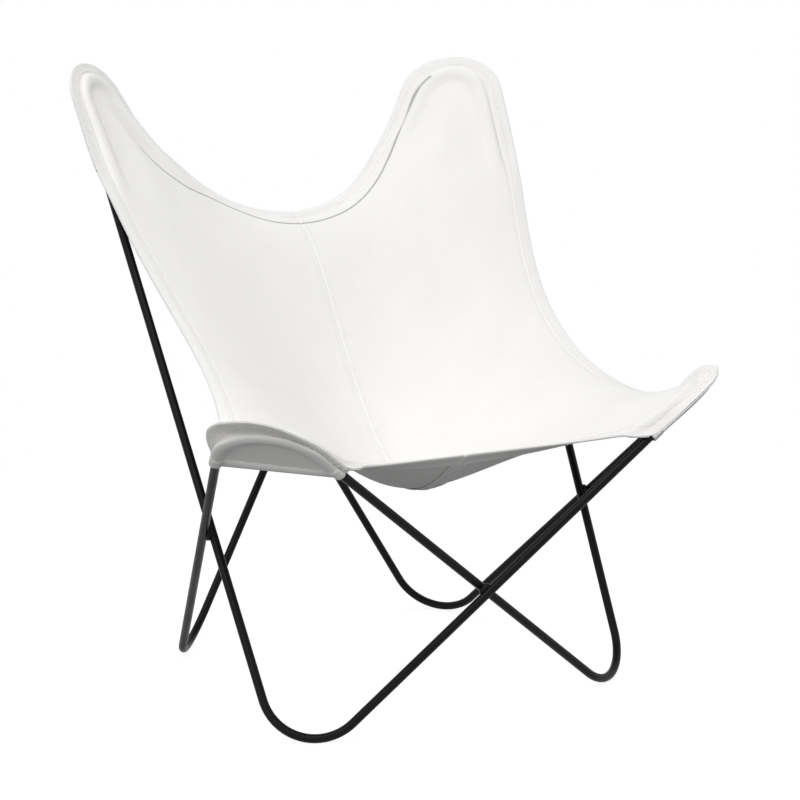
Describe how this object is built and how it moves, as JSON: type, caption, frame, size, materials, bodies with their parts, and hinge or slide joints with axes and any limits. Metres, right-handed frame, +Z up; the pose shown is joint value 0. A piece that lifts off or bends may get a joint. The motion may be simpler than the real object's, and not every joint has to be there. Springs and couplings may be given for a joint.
{
  "type": "butterfly sling chair",
  "caption": "Low lounge chair: a canvas sling hung by its corner pockets on the ears of a frame of bent steel rod loops, welded where their legs cross.",
  "frame": {"origin": "middle of the footprint on the floor", "axes": "+Z up, the chair faces -Y, +X is to the right as seen by someone who looks at the front"},
  "size_m": [0.7612, 0.6984, 0.8719],
  "materials": {
    "rod": "semi-gloss black powder coat",
    "canvas": "matte white canvas"
  },
  "bodies": {
    "root": {"frame_loop_1": "rod", "frame_loop_2": "rod", "weld_front": "rod", "weld_back": "rod", "weld_left": "rod", "weld_right": "rod", "sling_left_panel": "canvas", "sling_right_panel": "canvas", "seam_tape": "canvas", "hem_back": "canvas", "hem_front": "canvas", "hem_left": "canvas", "hem_right": "canvas", "pocket_back_left": "canvas", "pocket_back_right": "canvas", "pocket_front_left": "canvas", "pocket_front_right": "canvas", "binding_back_left": "canvas", "binding_back_right": "canvas", "binding_front_left": "canvas", "binding_front_right": "canvas"}
  },
  "joints": []
}
